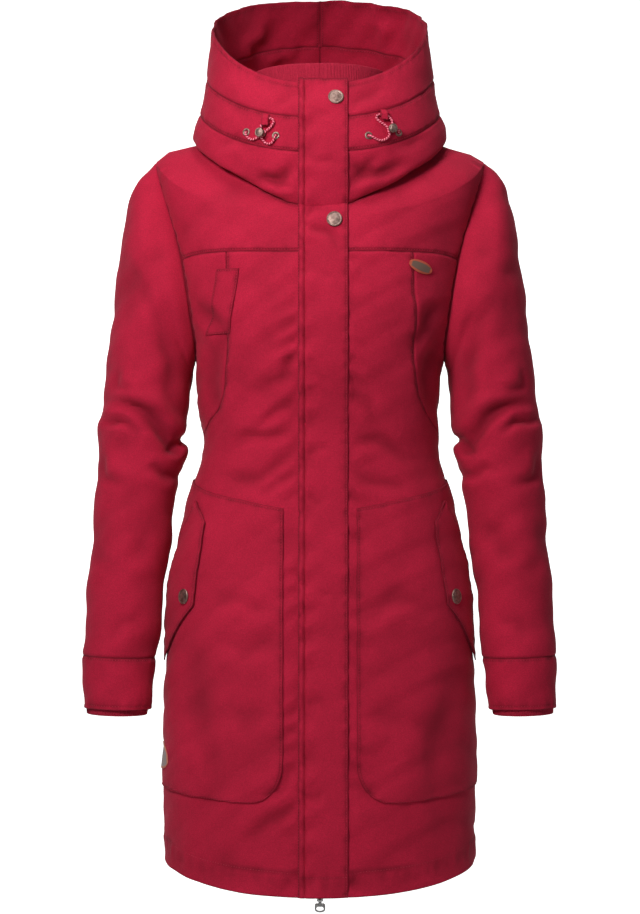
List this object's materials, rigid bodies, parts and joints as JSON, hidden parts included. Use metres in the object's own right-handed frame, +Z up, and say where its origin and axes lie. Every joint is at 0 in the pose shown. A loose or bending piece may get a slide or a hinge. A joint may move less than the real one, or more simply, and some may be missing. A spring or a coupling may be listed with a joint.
{
  "type": "parka",
  "caption": "Hooded knee-length parka, worn form with no wearer: storm placket, patch pockets with buttoned flaps, drawcord hood, rib-knit collar and cuffs.",
  "frame": {"origin": "between the shoulders at the height of the shoulder line, on the garment's middle plane, where the wearer carries it", "axes": "+Z up, the front faces -Y, +X is the wearer's left"},
  "size_m": [0.554, 0.3265, 1.074],
  "materials": {
    "canvas": "matte plain weave",
    "rib_knit": "rib knit",
    "zip_tape": "woven tape",
    "cord": "braided",
    "woven_label": "woven",
    "leather": "matte",
    "antique_nickel": "antiqued",
    "zinc": "satin"
  },
  "bodies": {
    "garment": {"back": "canvas", "chest_badge": "leather", "chest_welt": "canvas", "cord_l_1": "cord", "cord_l_2": "cord", "cord_l_3": "cord", "cord_lock_l": "antique_nickel", "cord_lock_r": "antique_nickel", "cord_r_1": "cord", "cord_r_2": "cord", "cord_r_3": "cord", "cord_tab_l": "canvas", "cord_tab_r": "canvas", "cuff_l": "canvas", "cuff_r": "canvas", "eyelet_l_in": "antique_nickel", "eyelet_l_out": "antique_nickel", "eyelet_r_in": "antique_nickel", "eyelet_r_out": "antique_nickel", "front_l": "canvas", "front_r": "canvas", "hood_band_l": "canvas", "hood_band_r": "canvas", "hood_channel_l": "canvas", "hood_channel_r": "canvas", "hood_gusset": "canvas", "hood_side_l": "canvas", "hood_side_r": "canvas", "placket": "canvas", "pocket_flap_l": "canvas", "pocket_flap_r": "canvas", "pocket_l": "canvas", "pocket_r": "canvas", "rib_collar": "rib_knit", "rib_cuff_l": "rib_knit", "rib_cuff_r": "rib_knit", "side_front_l": "canvas", "side_front_r": "canvas", "side_label": "woven_label", "sleeve_l": "canvas", "sleeve_r": "canvas", "stud_chest": "antique_nickel", "stud_flap_l": "antique_nickel", "stud_flap_r": "antique_nickel", "stud_top": "antique_nickel", "yoke_l": "canvas", "yoke_r": "canvas", "zip": "zip_tape", "zip_slider": "zinc"},
    "zip_pull": {"zip_pull": "zinc"},
    "lock_button_l": {"lock_button_l": "antique_nickel"},
    "lock_button_r": {"lock_button_r": "antique_nickel"}
  },
  "joints": [
    {"name": "zip_pull_swing", "type": "hinge", "parent": "garment", "child": "zip_pull", "pos_m": [0, -0.13665, -0.8671], "axis": [1, 0, 0], "range_deg": [-80, 80]},
    {"name": "lock_button_l_press", "type": "slide", "parent": "garment", "child": "lock_button_l", "axis": [-0.2996, 0.9488, -0.0999], "range_m": [0, 0.002], "stiffness_N_per_m": 250, "springref_m": -0.001},
    {"name": "lock_button_r_press", "type": "slide", "parent": "garment", "child": "lock_button_r", "axis": [0.4004, 0.9109, -0.1001], "range_m": [0, 0.002], "stiffness_N_per_m": 250, "springref_m": -0.001}
  ]
}
